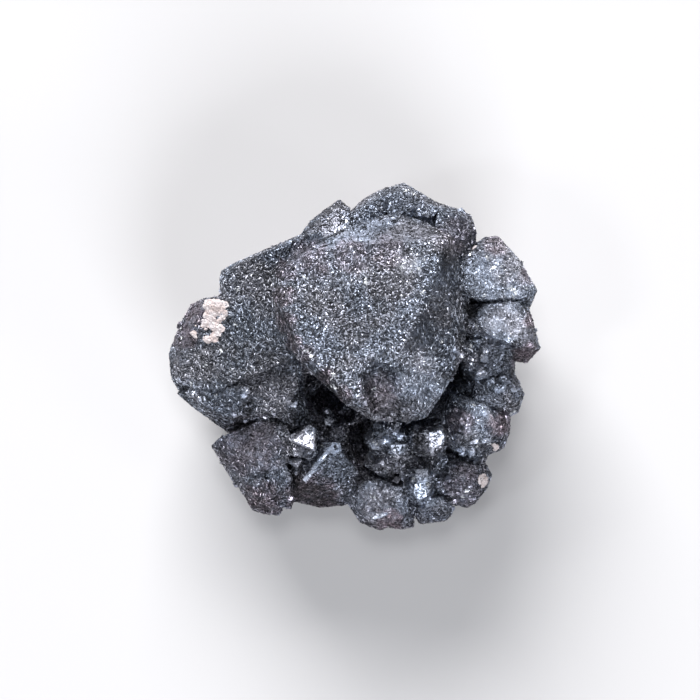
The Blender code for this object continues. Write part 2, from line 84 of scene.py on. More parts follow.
def points_of(mesh):
    points = np.empty(len(mesh.vertices) * 3, np.float32)
    mesh.vertices.foreach_get("co", points)
    return points.reshape(-1, 3)


def normals_of(mesh):
    normals = np.empty(len(mesh.vertices) * 3, np.float32)
    mesh.vertices.foreach_get("normal", normals)
    return normals.reshape(-1, 3)


def triangles_of(mesh):
    """Numbers of the corners of each triangle."""
    mesh.calc_loop_triangles()
    index = np.empty(len(mesh.loop_triangles) * 3, np.int32)
    mesh.loop_triangles.foreach_get("vertices", index)
    return index.reshape(-1, 3)


def move_points(mesh, points):
    mesh.vertices.foreach_set("co", points.ravel())
    mesh.update()


def paint(mesh, name, values):
    """Gives each point of the mesh a number, which the materials read by this name."""
    mesh.attributes.new(name, "FLOAT", "POINT").data.foreach_set("value", np.asarray(values, np.float32))


LOW_PART = 6.0          # below this height the skin is coarser, by this much
LOW_COARSER = 1.8
WELDED = 0.001          # corners nearer than this are one


def halved(points, triangles, longest):
    """The triangles with every side that is longer than this cut at its middle."""
    sides = np.sort(np.stack([triangles, np.roll(triangles, -1, axis=1)], -1), axis=2)
    starts, finishes = points[sides[:, :, 0]], points[sides[:, :, 1]]
    low = (starts + finishes)[:, :, 2] / 2 < LOW_PART * MM
    cut = np.linalg.norm(starts - finishes, axis=2) > longest * np.where(low, LOW_COARSER, 1.0)
    ends, number = np.unique(sides[cut], axis=0, return_inverse=True)
    middle = np.zeros(triangles.shape, np.int64)
    middle[cut] = len(points) + number.ravel()
    points = np.concatenate([points, points[ends].mean(1)])
    # Each triangle is turned so that its uncut sides come last, or its only cut side first.
    count = cut.sum(1)
    first = np.where(count == 1, cut.argmax(1), (cut.argmin(1) + 1) % 3)
    turn = (first[:, None] + np.arange(3)) % 3
    a, b, c = np.take_along_axis(triangles, turn, 1).T
    ab, bc, ca = np.take_along_axis(middle, turn, 1).T
    kept, one, two, three = (count == n for n in range(4))
    pieces = [triangles[kept]]
    for chosen, corners in (
        (one, [(a, ab, c), (ab, b, c)]),
        (two, [(ab, b, bc), (a, ab, bc), (a, bc, c)]),
        (three, [(a, ab, ca), (ab, b, bc), (ca, bc, c), (ab, bc, ca)]),
    ):
        pieces += [np.stack(corner, -1)[chosen] for corner in corners]
    return points, np.concatenate(pieces)


def finely_cut(node, name, longest):
    """A copy of a CAD node, with its triangles cut until no side is longer than this. Its edges stay."""
    bm = bmesh.new()
    bm.from_mesh(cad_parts[node].data)
    bmesh.ops.remove_doubles(bm, verts=bm.verts, dist=WELDED * MM)
    bmesh.ops.triangulate(bm, faces=bm.faces)
    points = np.array([vertex.co[:] for vertex in bm.verts])
    triangles = np.array([[vertex.index for vertex in face.verts] for face in bm.faces])
    bm.free()
    before = 0
    while len(triangles) > before:
        before = len(triangles)
        points, triangles = halved(points, triangles, longest)
    return link_object(name, mesh_from_arrays(name, points, triangles))


def evenly_skinned(obj, voxel):
    """Turns the object's overlapping shapes into one closed skin of even quads."""
    remesh = obj.modifiers.new("even skin", "REMESH")
    remesh.mode = "VOXEL"
    remesh.voxel_size = voxel
    graph = bpy.context.evaluated_depsgraph_get()
    even = bpy.data.meshes.new_from_object(obj.evaluated_get(graph))
    obj.modifiers.clear()
    obj.data = even


def span_hull(bm, verts):
    """Spans a convex skin over the vertices, and drops those inside it."""
    hull = bmesh.ops.convex_hull(bm, input=verts)
    bmesh.ops.delete(bm, geom=hull["geom_interior"], context="VERTS")


def unit(vectors):
    return vectors / np.linalg.norm(vectors, axis=1)[:, None]


def noise_at(points, size, seed):
    """Smooth noise of about -1 to 1 at each point, with features of this size in millimetres."""
    shift = Vector((seed * 17.3, seed * 5.1, seed * 9.7))
    scale = 1.0 / (size * MM)
    return np.array([noise.noise(Vector(p) * scale + shift) for p in points.tolist()], np.float32)


GRAIN_SLOPE = 1.25      # how fast a grain falls off from its top


def grains_at(points, size, seed):
    """0 between grains of this size and 1 at the top of each."""
    shift = Vector((seed * 3.7, seed * 11.9, seed * 7.3))
    scale = 1.0 / (size * MM)
    near = [noise.voronoi(Vector(p) * scale + shift)[0][0] for p in points.tolist()]
    return np.clip(1.0 - np.array(near, np.float32) * GRAIN_SLOPE, 0.0, 1.0)


# ---------------------------------------------------------------- where the faces differ

# Each place is the middle's x and y, how far it reaches, and how strongly it shows.
# Lighter, cleaner places, partly painted sheen and highlight.
CLEAN_AND_SHEEN_PLACES = [
    # The two blocks at the right end.
    (15.7, 8.7, 3.4, 0.65), (17.2, 7.6, 1.1, 0.9), (15.7, 9.5, 0.8, 1.0), (13.4, 9.2, 0.7, 0.9),
    (16.2, 3.6, 2.3, 0.95), (16.4, 3.8, 1.2, 0.9), (13.6, 2.0, 0.8, 0.7),
    # The main crystal: its cluster of bright grains, its upper rim and its lower right side.
    (5.1, 10.1, 0.75, 0.7), (6.5, 9.9, 0.8, 0.8), (6.9, 9.1, 0.5, 0.7), (5.8, 9.2, 0.5, 0.6),
    (7.6, 10.3, 0.5, 0.4), (0.9, 9.1, 0.5, 0.6), (-1.2, 11.2, 3.0, 0.1), (7.2, -1.4, 1.7, 0.6),
    (5.8, -3.2, 1.5, 0.55), (8.8, -3.4, 1.2, 0.55), (7.6, -5.0, 1.0, 0.4), (3.6, -4.0, 1.3, 0.7),
    # The lower right octahedron.
    (13.6, -6.9, 2.2, 0.75), (17.2, -6.0, 0.5, 1.0),
    # The small crowd.
    (8.8, -8.8, 1.1, 0.5), (4.7, -10.0, 1.0, 0.4), (2.2, -9.3, 0.8, 0.5), (7.0, -14.0, 1.1, 0.7),
    (2.8, -15.5, 2.6, 0.9), (8.8, -15.8, 0.9, 0.4), (12.1, -14.8, 1.1, 0.4),
    # The bright tooth, and the crystal at its left.
    (-5.5, -8.7, 1.1, 0.3), (-6.2, -10.6, 0.8, 0.3), (-11.5, -11.5, 3.6, 0.2),
    # The left plate.
    (-16.7, 5.4, 0.9, 0.25), (-17.8, 4.1, 0.9, 0.25), (-18.7, 2.4, 0.9, 0.25), (-19.4, 0.4, 0.8, 0.2),
    (-14.5, -1.0, 4.6, 0.14), (-8.6, 4.6, 2.6, 0.12),
    # The far peaks.
    (5.3, 18.0, 1.2, 0.4), (7.6, 15.2, 2.0, 0.14), (2.2, 16.4, 2.0, 0.1), (-6.6, 14.4, 1.6, 0.08),
]
BROWN_PLACES = [
    # The main crystal's left and upper rim, and its lower left edge and tip.
    (-7.3, 9.2, 1.3, 0.6), (-7.6, 6.4, 1.2, 0.6), (-7.3, 3.6, 1.2, 0.6), (-6.4, 1.4, 1.0, 0.6),
    (-4.7, 10.4, 2.2, 0.5), (-0.5, 10.8, 2.0, 0.5), (3.3, 11.2, 2.0, 0.4), (-5.0, 0.4, 0.9, 0.7),
    (-3.0, -2.0, 0.9, 0.7), (-1.0, -4.0, 0.9, 0.7), (2.6, -4.0, 2.2, 0.45),
    # The left plate's outer slope and the lower left crystals.
    (-17.0, 4.6, 1.6, 0.7), (-18.4, 2.2, 1.6, 0.7), (-11.3, -9.6, 3.4, 0.5), (-10.0, -15.6, 2.4, 0.7),
    (-4.6, -15.5, 3.0, 0.8),
    # The right end and the far peaks.
    (15.2, 12.1, 1.4, 0.6), (18.5, -0.2, 1.6, 0.9), (19.2, 4.0, 1.0, 0.8), (18.8, 8.6, 1.0, 0.5),
    (11.3, 13.1, 2.4, 0.4),
    # The lower right octahedron and the crowd.
    (11.3, -6.9, 1.5, 0.6), (15.9, -7.4, 1.5, 0.8), (11.9, -13.9, 2.6, 0.5), (3.7, -18.0, 1.6, 0.9),
]
SMOOTH_PLACES = [
    # The left plate's outer slope.
    (-16.6, 4.9, 1.2, 1.0), (-17.8, 3.2, 1.2, 1.0), (-18.6, 1.4, 1.1, 1.0), (-19.2, -0.4, 1.0, 0.8),
    # The main crystal's left foot, its upper bevels and the peaks behind them.
    (-7.5, 9.2, 1.2, 0.6), (-7.8, 6.4, 1.1, 0.6), (-7.6, 3.6, 1.1, 0.6), (-6.6, 1.4, 0.9, 0.5),
    (-4.6, 12.4, 1.7, 0.7), (-1.6, 12.9, 1.8, 0.7), (1.5, 13.1, 1.8, 0.7), (4.6, 12.9, 1.8, 0.7),
    (6.0, 16.6, 3.4, 0.6), (-2.4, 15.4, 2.4, 0.5), (-8.0, 12.8, 3.0, 0.4), (11.3, 13.1, 2.4, 0.7),
    # The right end.
    (15.7, 8.7, 3.4, 0.4), (15.6, 8.0, 3.4, 0.5), (16.2, 3.3, 2.4, 0.8), (19.0, 2.0, 1.4, 0.8),
    (14.6, -2.0, 3.2, 0.4),
    # The lower edge.
    (-13.0, -4.6, 2.6, 0.4), (-11.3, -9.6, 3.8, 0.5), (-6.4, -12.6, 2.6, 0.5), (-5.5, -8.7, 1.3, 0.8),
    (2.8, -15.5, 2.6, 0.2), (7.0, -14.0, 1.3, 0.7), (9.5, -12.5, 3.4, 0.3), (8.8, -8.8, 1.3, 0.9),
    (11.3, -6.9, 1.5, 0.8),
]
# Painted shade in the crevices, the pits, the hollow, and where the main crystal shades the left plate.
PAINTED_SHADE_PLACES = [
    # The main crystal: its upper right corner, the notch at its tip, and its middle.
    (9.9, 10.9, 0.6, 0.5), (0.9, -2.2, 0.6, 0.6), (1.3, -3.6, 0.65, 0.7), (1.9, -5.2, 0.5, 0.6),
    (0.5, 4.5, 3.4, 0.25), (9.8, 2.4, 2.4, 0.2),
    # The left plate and the lower left crystals.
    (-13.6, 0.4, 4.2, 0.45), (-9.8, 3.2, 3.2, 0.35), (-9.0, -0.2, 2.4, 0.4), (-11.4, -5.6, 0.8, 0.8),
    (-12.2, -7.6, 0.9, 0.7), (-9.6, -12.5, 0.35, 0.6), (-9.9, -13.3, 0.35, 0.6), (-6.3, -13.7, 0.7, 0.7),
    (-4.6, -15.6, 2.2, 0.65),
    # The hollow and the cleft.
    (-4.0, -4.2, 2.6, 0.6), (-5.9, -6.4, 1.1, 0.7), (-3.4, -7.4, 0.8, 0.5), (0.2, -9.6, 1.6, 0.6),
    (1.5, -8.2, 1.2, 0.5),
    # Between the crystals on the right.
    (11.3, -2.6, 1.4, 0.5), (11.5, 1.8, 0.8, 0.7), (12.5, 5.1, 0.9, 0.8), (9.9, -5.4, 1.0, 0.5),
    (6.8, -9.0, 0.6, 0.7), (14.6, -2.0, 2.2, 0.25),
]
# Whole faces of the main crystal, as convex outlines that run anticlockwise.
UPPER_BEVEL = [(-7.7, 9.56), (-1.03, 11.93), (1.9, 14.96), (-2.65, 12.8), (-5.5, 11.2)]
UPPER_BEVEL_END = [(-1.03, 11.93), (3.29, 11.6), (9.88, 12.37), (7.6, 13.9), (1.9, 14.96)]
RIGHT_SIDE = [(9.99, 12.04), (5.13, 0.16), (8.15, 1.24), (10.85, 6.1), (11.39, 10.2)]
LEFT_FOOT = [(-10.0, 10.0), (-9.2, 0.7), (-7.0, -1.7), (-6.0, 0.0), (-7.8, 9.5)]
PIT = [(9.5, 11.8), (9.2, 10.3), (10.0, 9.6), (10.5, 10.4), (10.2, 11.7)]
# How strongly each shows.
# Painted highlight on the upper bevels, which face the light.
PAINTED_HIGHLIGHT_FACES = [(0.1, UPPER_BEVEL), (0.1, UPPER_BEVEL_END)]
SMOOTH_FACES = [(0.95, UPPER_BEVEL), (0.95, UPPER_BEVEL_END), (0.5, RIGHT_SIDE)]
# Painted shade on the right side, which faces away from the light, on the left foot in the main crystal's
# shadow, in the pit, and a little on the upper bevels.
PAINTED_SHADE_FACES = [
    (0.24, RIGHT_SIDE), (0.3, LEFT_FOOT), (0.75, PIT), (0.15, UPPER_BEVEL), (0.15, UPPER_BEVEL_END),
]
PAINTED_ABOVE = 4.0     # the places and faces are on the upper side only
WANDER_SIZE = 0.9       # how large the wanderings of their outlines are, and how far they go
WANDER = 0.3
WANDER_SEED = 9
PLACE_ENDS = 1.25       # a place ends at this share of its reach, and fades over this much of it
PLACE_FADE = 0.6
FACE_FADE = 0.4         # the width over which a face fades


def inside_face(points, corners):
    """How far each point is inside a convex outline, in millimetres."""
    inside = np.full(len(points), np.inf)
    for (x, y), (to_x, to_y) in zip(corners, corners[1:] + corners[:1]):
        length = np.hypot(to_x - x, to_y - y)
        left = (to_x - x) * (points[:, 1] / MM - y) - (to_y - y) * (points[:, 0] / MM - x)
        inside = np.minimum(inside, left / length)
    return inside


def share_at(points, places, faces=()):
    """How strongly the places and faces show at each point, with ragged outlines."""
    share = np.zeros(len(points), np.float32)
    wander = WANDER * noise_at(points, WANDER_SIZE, WANDER_SEED)
    for strength, corners in faces:
        inside = inside_face(points, corners) + FACE_FADE * wander
        share = np.maximum(share, strength * np.clip(inside / FACE_FADE + 0.5, 0, 1))
    for x, y, reach, strength in places:
        distance = np.hypot(points[:, 0] / MM - x, points[:, 1] / MM - y) / reach + wander
        fall = np.clip((PLACE_ENDS - distance) / PLACE_FADE, 0, 1)
        share = np.maximum(share, strength * fall * fall * (3 - 2 * fall))
    return share * (points[:, 2] > PAINTED_ABOVE * MM)


RUST_TOP = 9.0          # the sides rust below this height, more and more over this much
RUST_DEPTH = 5.0
RUST_MOST = 0.9
RUST_AND_REFLECTION_FACING = 0.35      # it is fuller on what faces up less than this, more and more over this much: rust, and partly a painted warm reflection
RUST_AND_REFLECTION_FACING_FADE = 0.9
RUST_ALL_ROUND = 0.35   # the share of it that shows whichever way the surface faces


def brown_at(points, normals):
    """Brown rust on the brown places, and low on the sides; the more where they face down, where it is partly
    a painted warm reflection.
    """
    low = np.clip((RUST_TOP - points[:, 2] / MM) / RUST_DEPTH, 0, 1)
    facing_down = np.clip((RUST_AND_REFLECTION_FACING - normals[:, 2]) / RUST_AND_REFLECTION_FACING_FADE, 0, 1)
    fuller = RUST_ALL_ROUND + (1 - RUST_ALL_ROUND) * facing_down
    return np.maximum(share_at(points, BROWN_PLACES), RUST_MOST * low * fuller)


# ---------------------------------------------------------------- skin

SKIN_EDGE = 0.44        # the longest side of a triangle in the upper skin
FLAT_BASE = 0.35        # the skin below this height stays flat where it faces down
FACING_DOWN = -0.9
SMOOTHER = 0.6          # how much of the relief a smooth place loses


def relief(points, normals):
    """How far each point of the skin moves out along its normal, in millimetres. Each line is a height
    times a noise, which is given by its size and its seed."""
    rise = 0.05 * noise_at(points, 2.4, 1)
    rise += 0.04 * noise_at(points, 0.95, 2)
    rise += 0.05 * (grains_at(points, 0.7, 3) - 0.45)
    rise += 0.04 * noise_at(points, 0.45, 4)
    rise *= 1 - SMOOTHER * share_at(points, SMOOTH_PLACES)
    on_base = (normals[:, 2] < FACING_DOWN) & (points[:, 2] < FLAT_BASE * MM)
    rise[on_base] = np.minimum(rise[on_base], 0.0)
    return rise


def granular_skin(node, name):
    """The CAD node's surface with its relief, and with its places and faces painted on."""
    skin = finely_cut(node, name, SKIN_EDGE * MM)
    points, normals = points_of(skin.data), normals_of(skin.data)
    points = points + normals * (relief(points, normals) * MM)[:, None]
    points[:, 2] = np.maximum(points[:, 2], 0.0)
    move_points(skin.data, points)
    skin.data.polygons.foreach_set("use_smooth", np.zeros(len(skin.data.polygons), bool))
    paint(skin.data, "bright", share_at(points, CLEAN_AND_SHEEN_PLACES, PAINTED_HIGHLIGHT_FACES))
    paint(skin.data, "brown", brown_at(points, normals))
    paint(skin.data, "smooth", share_at(points, SMOOTH_PLACES, SMOOTH_FACES))
    paint(skin.data, "painted_shade", share_at(points, PAINTED_SHADE_PLACES, PAINTED_SHADE_FACES))
    return skin


skin = granular_skin("hematite_cluster", "hematite_skin")

# ---------------------------------------------------------------- what the crystals sit on

SEAT_REACH = 0.4        # a seat is judged from the faces this near it
SEAT_TOP = 90           # it is as high as this percentile of them
SEAT_DEPTH = 0.5        # and faces as those do that are this near its height


class Surface:
    """The triangles of several objects: corners, areas and normals, and middles in millimetres."""

    def __init__(self, *objects):
        self.meshes = [obj.data for obj in objects]
        points = [points_of(mesh)[triangles_of(mesh)].astype(float) for mesh in self.meshes]
        self.corners = np.concatenate(points)
        a, b, c = self.corners.transpose(1, 0, 2)
        across = np.cross(b - a, c - a)
        double = np.linalg.norm(across, axis=1)
        self.areas = double / 2
        self.normals = across / np.maximum(double, 1e-15)[:, None]
        self.middles = self.corners.mean(1) / MM

    def painted(self, name):
        """What is painted on each triangle by this name."""
        shares = []
        for mesh in self.meshes:
            values = np.empty(len(mesh.vertices), np.float32)
            mesh.attributes[name].data.foreach_get("value", values)
            shares.append(values[triangles_of(mesh)].mean(1))
        return np.concatenate(shares)

    def seat_at(self, x, y):
        """A matrix that puts the origin on the upper side at this place, with Z along the normal there."""
        near = np.hypot(self.middles[:, 0] - x, self.middles[:, 1] - y) < SEAT_REACH
        height = np.percentile(self.middles[near, 2], SEAT_TOP)
        level = near & (np.abs(self.middles[:, 2] - height) < SEAT_DEPTH)
        facing = Vector(self.normals[level].mean(0)).normalized()
        lie = facing.to_track_quat("Z", "X").to_matrix().to_4x4()
        return Matrix.Translation(Vector((x, y, height)) * MM) @ lie


# ---------------------------------------------------------------- small crystals

# Each crowd is its middle's x and y, how far it reaches, its number of crystals, and their largest radius.
CROWDS = [
    # Along the lower edge and up the right side.
    (2.2, -9.6, 2.0, 14, 0.75), (5.5, -10.6, 2.2, 16, 0.8), (8.9, -9.4, 1.5, 8, 0.9),
    (4.9, -14.2, 2.2, 16, 0.8), (2.8, -16.2, 1.8, 12, 0.7), (7.9, -14.2, 1.8, 12, 0.8),
    (8.4, -16.6, 1.5, 8, 0.7), (11.9, -13.9, 2.2, 16, 0.7), (12.5, -6.9, 2.2, 14, 0.7),
    (10.9, -10.6, 1.8, 12, 0.7), (15.4, -7.4, 1.6, 10, 0.7), (14.6, -1.5, 2.7, 26, 0.8),
    (17.0, -3.1, 1.5, 8, 0.6), (11.6, 0.2, 1.3, 8, 0.6), (12.3, 4.2, 0.9, 6, 0.5),
    (3.3, -7.4, 1.6, 12, 0.75),
    # On and about the lower left crystals, and in the hollow.
    (-5.9, -9.6, 1.3, 8, 0.7), (-3.2, -9.6, 1.2, 7, 0.6), (-12.4, -5.2, 1.6, 7, 0.6),
    (-10.3, -6.9, 1.0, 8, 0.65), (-8.2, -6.9, 0.9, 8, 0.65), (-12.2, -7.6, 0.7, 5, 0.5),
    (-8.0, -12.8, 1.2, 6, 0.6), (-3.7, -4.7, 2.2, 14, 0.7),
    # On the far peaks and the right end.
    (5.5, 17.0, 2.2, 10, 0.6), (-1.6, 15.3, 1.8, 8, 0.5), (11.0, 13.0, 2.0, 10, 0.6),
    (-7.0, 13.1, 1.3, 5, 0.4), (16.0, 8.5, 2.6, 14, 0.45),
]
ON_THE_SIDES = 420      # more of them all round the sides
SIDE_RADIUS = 0.5
LOWEST_POINT = 0.3      # none of them reaches below this height
CROWD_FACING = 0.15     # a crowd sits on what faces up more than this, above this height
CROWD_ABOVE = 3.0
STEEP_FACING = 0.6      # the sides are what faces up or down less than this, above this height
SIDES_ABOVE = 1.2
CROWD_SIZES = (0.4, 1.0)                # the least and the most, as shares of the largest radius
SIDE_SIZES = (0.35, 1.0)
BLOCK_STRETCH = (0.7, 1.1)              # how long, wide and high one is, for a radius of 1
BLOCK_SUNK = (-0.05, 0.5)               # how deep its middle lies, for a radius of 1
BLOCK_UNEVEN = (0.8, 1.15)              # how far out its corners are
SHINES = [0.1, 0.7, 1.7]                # how light, with painted sheen, they are, and the share that is so
SHINE_SHARES = [0.45, 0.33, 0.22]
BROWN_DULLS = 0.6        # how much of that brown takes away
CRYSTAL_PAINTED_SHADE = 0.6  # how much of the painted shade shows on them
CRYSTAL_SMOOTHNESS = 0.9
ROUGH_BLOCK = np.array([                # the twelve corners of a cuboctahedron
    (1, 1, 0), (1, -1, 0), (-1, 1, 0), (-1, -1, 0), (1, 0, 1), (1, 0, -1),
    (-1, 0, 1), (-1, 0, -1), (0, 1, 1), (0, 1, -1), (0, -1, 1), (0, -1, -1),
], float) / np.sqrt(2)


def seats_of_crowds(draw, under):
    """Where the crowds' crystals sit: numbers of the surface's triangles, and a radius for each."""
    seats, radii = [], []
    upper = (under.normals[:, 2] > CROWD_FACING) & (under.middles[:, 2] > CROWD_ABOVE)
    for x, y, reach, count, largest in CROWDS:
        near = np.hypot(under.middles[:, 0] - x, under.middles[:, 1] - y) < reach
        seats.append(draw.choice(np.flatnonzero(near & upper), count))
        radii.append(largest * draw.uniform(*CROWD_SIZES, count))
    return np.concatenate(seats), np.concatenate(radii)


def seats_on_sides(draw, under):
    """The same for the crystals on the steep sides."""
    steep = (np.abs(under.normals[:, 2]) < STEEP_FACING) & (under.middles[:, 2] > SIDES_ABOVE)
    weight = under.areas * steep
    seats = draw.choice(len(weight), ON_THE_SIDES, p=weight / weight.sum())
    return seats, SIDE_RADIUS * draw.uniform(*SIDE_SIZES, ON_THE_SIDES)


def small_crystals(name, under, seed):
    """Blocky crystals half sunk in the surface, some of them lighter, with painted sheen, and smoother than
    it.
    """
    draw = np.random.default_rng(seed)
    crowd_seats, crowd_radii = seats_of_crowds(draw, under)
    side_seats, side_radii = seats_on_sides(draw, under)
    seats = np.concatenate([crowd_seats, side_seats])
    radii = np.concatenate([crowd_radii, side_radii])
    browns = brown_at(under.corners[seats].mean(1), under.normals[seats])
    painted_shades = CRYSTAL_PAINTED_SHADE * share_at(under.corners[seats].mean(1), PAINTED_SHADE_PLACES)
    bm = bmesh.new()
    layers = [bm.verts.layers.float.new(layer) for layer in ("bright", "smooth", "brown", "painted_shade")]
    for seat, radius, brown, painted_shade in zip(seats, radii, browns, painted_shades):
        stretch = Matrix.Diagonal((*(radius * draw.uniform(*BLOCK_STRETCH, 3) * MM), 1.0))
        sunk = under.middles[seat] - under.normals[seat] * radius * draw.uniform(*BLOCK_SUNK)
        turn = Quaternion(draw.normal(size=4)).normalized().to_matrix().to_4x4()
        move = Matrix.Translation(Vector(sunk) * MM) @ turn @ stretch
        corners = ROUGH_BLOCK * draw.uniform(*BLOCK_UNEVEN, (len(ROUGH_BLOCK), 1))
        verts = [bm.verts.new(move @ Vector(corner)) for corner in corners]
        shine = draw.choice(SHINES, p=SHINE_SHARES) * (1 - BROWN_DULLS * brown)
        for vert in verts:
            vert.co.z = max(vert.co.z, LOWEST_POINT * MM)
            for layer, value in zip(layers, (shine, CRYSTAL_SMOOTHNESS, brown, painted_shade)):
                vert[layer] = value
        span_hull(bm, verts)
    bmesh.ops.triangulate(bm, faces=bm.faces)
    return object_from(bm, name)


crystals = small_crystals("small_crystals", Surface(skin), 11)

# ---------------------------------------------------------------- clear-cut crystals

# How far a face falls per millimetre along X and Y, so that it shines in the light from there.
TO_BACK_LIGHT = (-0.14, 0.63)
TO_FRONT_LIGHT = (0.21, -0.52)
AS_SKIN = None          # it falls as the skin does
# Each is how bright it is, partly a painted highlight, how far its face stands out, how that falls, and the
# face's corners.
CLEAR_FACES = [
    # The bright tooth and the blocks below it.
    (1.2, 0.4, TO_BACK_LIGHT, [
        (-6.56, -9.02), (-4.89, -7.72), (-4.45, -7.94), (-4.45, -9.91), (-5.16, -9.56),
    ]),
    (1.6, 0.3, TO_BACK_LIGHT, [(-6.6, -9.9), (-5.7, -9.75), (-5.75, -10.5), (-6.4, -10.6)]),
    (1.8, 0.3, TO_BACK_LIGHT, [(-7.1, -11.3), (-6.1, -10.85), (-5.7, -11.2), (-6.2, -11.9)]),
    # The narrow ridge.
    (2.6, 0.12, AS_SKIN, [(-5.5, -13.2), (-5.2, -13.45), (-4.3, -12.3), (-4.65, -12.05)]),
    (2.2, 0.08, AS_SKIN, [(-4.7, -12.1), (-4.3, -12.3), (-3.6, -11.3), (-3.9, -11.1)]),
    (2.4, 0.14, AS_SKIN, [(-3.9, -11.2), (-3.6, -11.35), (-2.8, -10.4), (-3.1, -10.15)]),
    (2.6, 0.18, AS_SKIN, [(-2.85, -10.1), (-2.3, -9.4), (-1.75, -9.45), (-1.55, -10.1), (-2.2, -10.5)]),
    # In and by the hollow.
    (1.2, 0.3, AS_SKIN, [(-3.2, -6.95), (-2.75, -6.55), (-2.3, -6.95), (-2.6, -7.45), (-3.1, -7.4)]),
    (1.6, 0.2, TO_BACK_LIGHT, [(-6.95, -5.3), (-6.5, -4.7), (-6.2, -4.9), (-6.4, -5.5)]),
    # In the small crowd.
    (1.5, 0.35, TO_FRONT_LIGHT, [
        (8.09, -8.23), (9.23, -7.98), (9.64, -8.64), (9.34, -9.47), (8.4, -10.0), (8.09, -9.47),
    ]),
    (1.7, 0.25, TO_FRONT_LIGHT, [(8.1, -9.6), (8.7, -9.7), (8.5, -10.4), (8.2, -10.5)]),
    (0.5, 0.2, TO_FRONT_LIGHT, [
        (3.94, -9.6), (4.5, -9.35), (5.5, -9.5), (5.6, -10.1), (4.6, -11.1), (4.2, -10.6),
    ]),
    (1.2, 0.1, AS_SKIN, [(1.9, -9.2), (2.4, -9.1), (2.4, -9.9), (1.9, -9.95)]),
    (1.2, 0.2, TO_FRONT_LIGHT, [(6.5, -13.8), (7.6, -13.6), (7.8, -15.1), (6.9, -15.5), (6.4, -14.7)]),
    (1.0, 0.1, AS_SKIN, [(6.6, -12.3), (7.8, -12.15), (8.0, -13.4), (6.75, -13.6)]),
    # On the lower right octahedron and below it, and at the foot of the crowd.
    (1.5, 0.12, TO_FRONT_LIGHT, [(12.4, -9.15), (13.3, -8.95), (13.2, -9.35), (12.5, -9.4)]),
    (1.5, 0.12, TO_FRONT_LIGHT, [(13.7, -8.85), (14.7, -8.8), (14.6, -9.25), (13.8, -9.3)]),
    (1.2, 0.1, AS_SKIN, [(12.2, -10.0), (12.9, -9.8), (13.0, -10.6), (12.5, -10.9)]),
    (0.6, 0.1, AS_SKIN, [(7.6, -15.4), (9.3, -15.3), (9.4, -15.9), (7.8, -16.3)]),
    (1.6, 0.1, TO_BACK_LIGHT, [(1.6, -16.9), (3.2, -16.5), (3.5, -17.1), (2.0, -17.6)]),
]
CLEAR_DEPTH = 0.9       # how deep each is
CLEAR_SPREAD = 1.25     # how much wider it is there
CLEAR_FLATTER = 0.6     # how much of the skin's fall a face has
CLEAR_STEEPEST = 0.5    # where the skin faces up less than this, a face falls as if it were this
CLEAR_CROWN = 0.12      # how far its middle may rise, and its corners may be off
CLEAR_UNEVEN = 0.1
CLEAR_GLINT = 0.4       # how much of its brightness is painted glint, up to the most
CLEAR_GLINT_MOST = 0.9
CLEAR_SMOOTHNESS = 0.7


def clear_crystal(bm, under, rise, fall, corners, draw):
    """A crystal with this face upward. Its corners are a little uneven, as a grown crystal's are."""
    middle = np.mean(corners, axis=0)
    place = under.seat_at(*middle)
    facing = place.to_3x3() @ Vector((0, 0, 1))
    if fall is AS_SKIN:
        fall = np.array(facing.xy) * CLEAR_FLATTER / max(facing.z, CLEAR_STEEPEST)
    top = place.translation.z / MM + rise
    verts = [bm.verts.new(Vector((*middle, top + draw.uniform(0.0, CLEAR_CROWN))) * MM)]
    for corner in corners:
        offset = np.array(corner) - middle
        z = top - np.dot(fall, offset) + draw.uniform(-CLEAR_UNEVEN, CLEAR_UNEVEN)
        verts.append(bm.verts.new(Vector((*corner, z)) * MM))
        verts.append(bm.verts.new(Vector((*(middle + offset * CLEAR_SPREAD), z - CLEAR_DEPTH)) * MM))
    span_hull(bm, verts)
    return [vert for vert in verts if vert.is_valid]


def clear_crystals(name, under, seed):
    """The larger clear-cut crystals, as one mesh."""
    draw = np.random.default_rng(seed)
    bm = bmesh.new()
    layers = [bm.verts.layers.float.new(layer) for layer in ("bright", "glint", "brown", "smooth", "painted_shade")]
    for brightness, rise, fall, corners in CLEAR_FACES:
        glint = min(CLEAR_GLINT * brightness, CLEAR_GLINT_MOST)
        for vert in clear_crystal(bm, under, rise, fall, corners, draw):
            for layer, value in zip(layers, (brightness, glint, 0.0, CLEAR_SMOOTHNESS, 0.0)):
                vert[layer] = value
    bmesh.ops.triangulate(bm, faces=bm.faces)
    return object_from(bm, name)


clears = clear_crystals("clear_crystals", Surface(skin, crystals), 41)

# ---------------------------------------------------------------- micro crystals

# Three shapes of tiny crystal, each as corners and faces: long, wide and high along x, y and z.
OCTAHEDRON = (
    np.array([(1, 0, 0), (0, 1, 0), (-1, 0, 0), (0, -1, 0), (0, 0, 1), (0, 0, -1)], float),
    np.array([(0, 1, 4), (1, 2, 4), (2, 3, 4), (3, 0, 4), (1, 0, 5), (2, 1, 5), (3, 2, 5), (0, 3, 5)]),
)
SHARD = (
    np.array([(1, 0.15, 1), (-0.75, 1, 1), (-0.6, -0.8, 1), (0, 0, -1.5)], float),
    np.array([(0, 1, 2), (1, 0, 3), (2, 1, 3), (0, 2, 3)]),
)
TABLET = (
    np.array([(1, 0.3, 1), (-0.7, 1, 1), (-1, -0.4, 1), (0.6, -1, 1), (0, 0, -1.5)], float),
    np.array([(0, 1, 2), (0, 2, 3), (1, 0, 4), (2, 1, 4), (3, 2, 4), (0, 3, 4)]),
)
